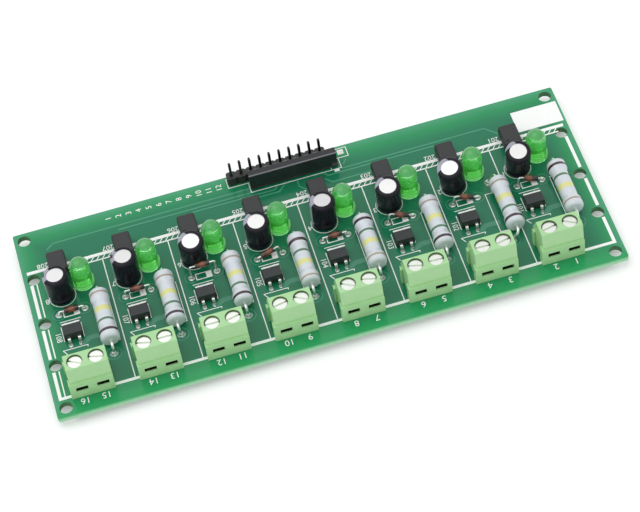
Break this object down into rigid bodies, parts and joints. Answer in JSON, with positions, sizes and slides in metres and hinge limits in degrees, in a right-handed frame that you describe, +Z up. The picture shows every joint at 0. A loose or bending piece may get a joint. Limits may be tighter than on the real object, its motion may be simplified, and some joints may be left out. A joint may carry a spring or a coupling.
{
  "type": "optocoupler isolation module",
  "caption": "Long narrow circuit board that isolates mains inputs from logic outputs: repeated channels with screw terminals, resistor, bridge, capacitor, light and optocoupler.",
  "frame": {"origin": "middle of the board's outline, on the plane that the solder joints stand on", "axes": "+X along the row of channels, +Y towards the pin header, +Z up out of the component side"},
  "size_m": [0.14, 0.057, 0.0132],
  "materials": {
    "board": "green solder mask with white print",
    "solder": "bright reflowed solder",
    "black_plastic": "satin moulding",
    "header_pin": "dark plated",
    "network_coat": "satin moulding",
    "tinned_lead": "bright tinned",
    "clamp_metal": "nickel plated",
    "screw_metal": "nickel plated",
    "terminal_plastic": "satin moulding",
    "resistor_coat": "lacquer with colour bands",
    "can_aluminium": "satin drawn",
    "sleeve_film": "shrunk film with a grey stripe",
    "bung_rubber": "matte",
    "led_lens": "tinted clear epoxy",
    "opto_body": "moulded epoxy",
    "bridge_body": "moulded epoxy",
    "diode_glass": "tinted glass bead"
  },
  "bodies": {
    "root": {"board": "board", "solder_joints": "solder", "header_housing": "black_plastic", "header_pins": "header_pin", "resistor_network": "network_coat", "network_pins": "tinned_lead", "terminal_contacts": "clamp_metal", "terminal_guards": "clamp_metal", "terminal_screws": "screw_metal", "resistor_leads": "tinned_lead", "capacitor_sleeves": "sleeve_film", "capacitor_bungs": "bung_rubber", "capacitor_leads": "tinned_lead", "led_leads": "tinned_lead", "optocoupler_pins": "tinned_lead", "bridge_rectifiers": "bridge_body", "bridge_pins": "tinned_lead", "diodes": "diode_glass", "diode_leads": "tinned_lead", "terminal_housing_1": "terminal_plastic", "resistor_1": "resistor_coat", "capacitor_1": "can_aluminium", "led_1": "led_lens", "optocoupler_1": "opto_body", "terminal_housing_2": "terminal_plastic", "resistor_2": "resistor_coat", "capacitor_2": "can_aluminium", "led_2": "led_lens", "optocoupler_2": "opto_body", "terminal_housing_3": "terminal_plastic", "resistor_3": "resistor_coat", "capacitor_3": "can_aluminium", "led_3": "led_lens", "optocoupler_3": "opto_body", "terminal_housing_4": "terminal_plastic", "resistor_4": "resistor_coat", "capacitor_4": "can_aluminium", "led_4": "led_lens", "optocoupler_4": "opto_body", "terminal_housing_5": "terminal_plastic", "resistor_5": "resistor_coat", "capacitor_5": "can_aluminium", "led_5": "led_lens", "optocoupler_5": "opto_body", "terminal_housing_6": "terminal_plastic", "resistor_6": "resistor_coat", "capacitor_6": "can_aluminium", "led_6": "led_lens", "optocoupler_6": "opto_body", "terminal_housing_7": "terminal_plastic", "resistor_7": "resistor_coat", "capacitor_7": "can_aluminium", "led_7": "led_lens", "optocoupler_7": "opto_body", "terminal_housing_8": "terminal_plastic", "resistor_8": "resistor_coat", "capacitor_8": "can_aluminium", "led_8": "led_lens", "optocoupler_8": "opto_body"}
  },
  "joints": []
}
